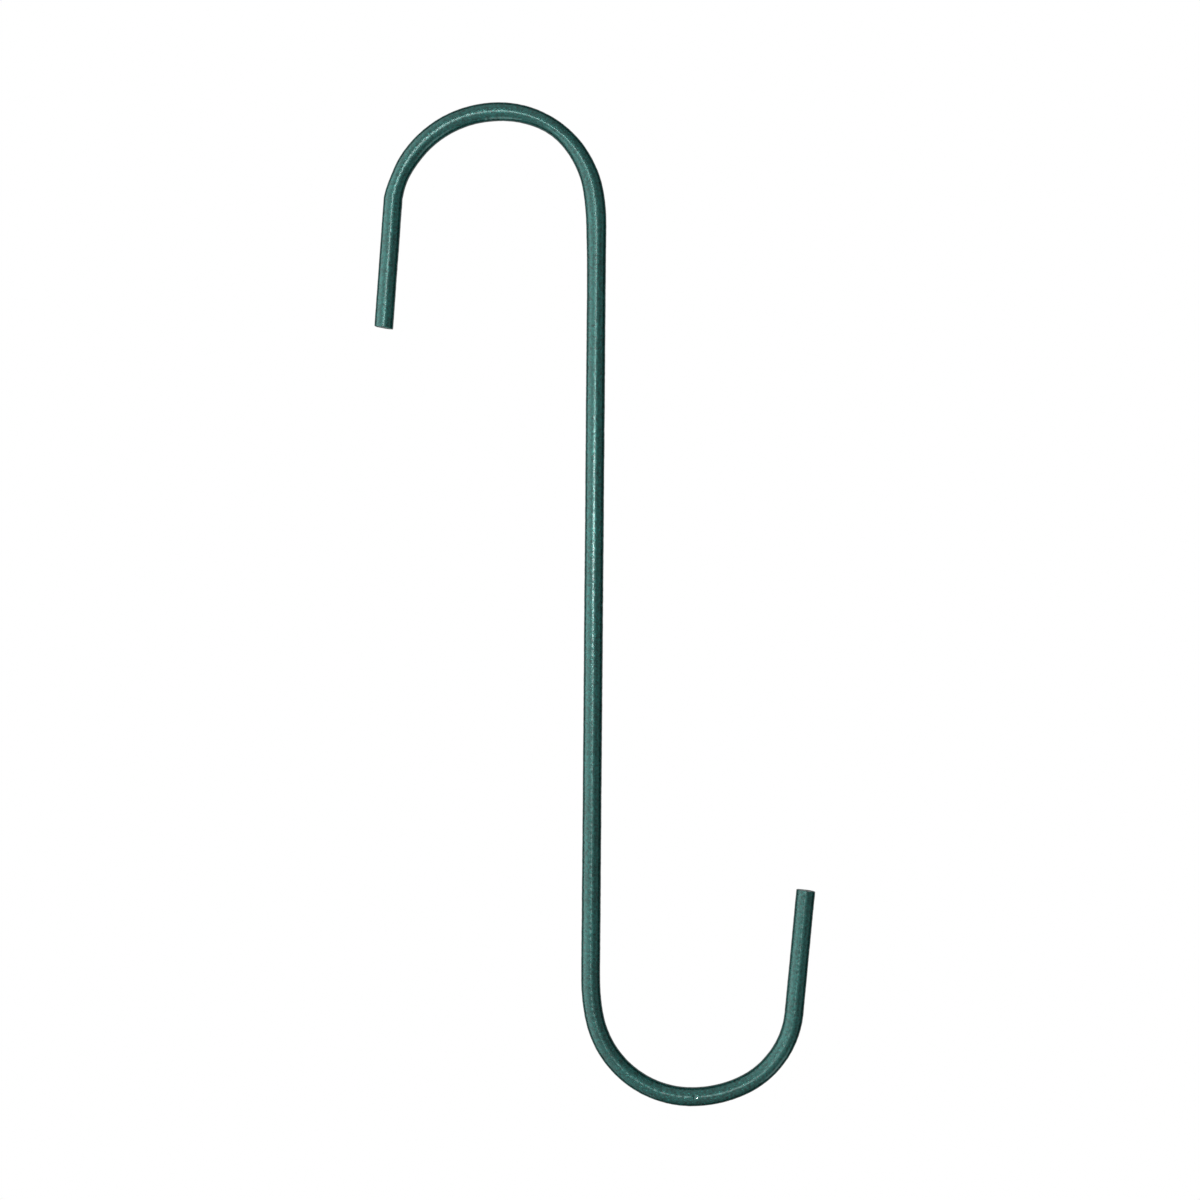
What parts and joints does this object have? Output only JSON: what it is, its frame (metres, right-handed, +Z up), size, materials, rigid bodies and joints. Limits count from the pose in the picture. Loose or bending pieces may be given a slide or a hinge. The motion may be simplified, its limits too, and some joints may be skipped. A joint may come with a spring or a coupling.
{
  "type": "s hook",
  "caption": "Long S-shaped hanging hook bent from a painted round steel rod, with an open hook at each end of a straight shank.",
  "frame": {"origin": "the rod seat: the highest inside point of the upper hook, where the hook hangs on its rail", "axes": "+Z up along the straight shank, +X towards the lower hook's opening leg, the rod bent in the XZ plane, -Y towards the camera"},
  "size_m": [0.1355, 0.0056, 0.3048],
  "materials": {
    "green_paint": "satin powder coat, dark blue-green, with a fine grain"
  },
  "bodies": {
    "root": {"hook_wire": "green_paint"}
  },
  "joints": []
}
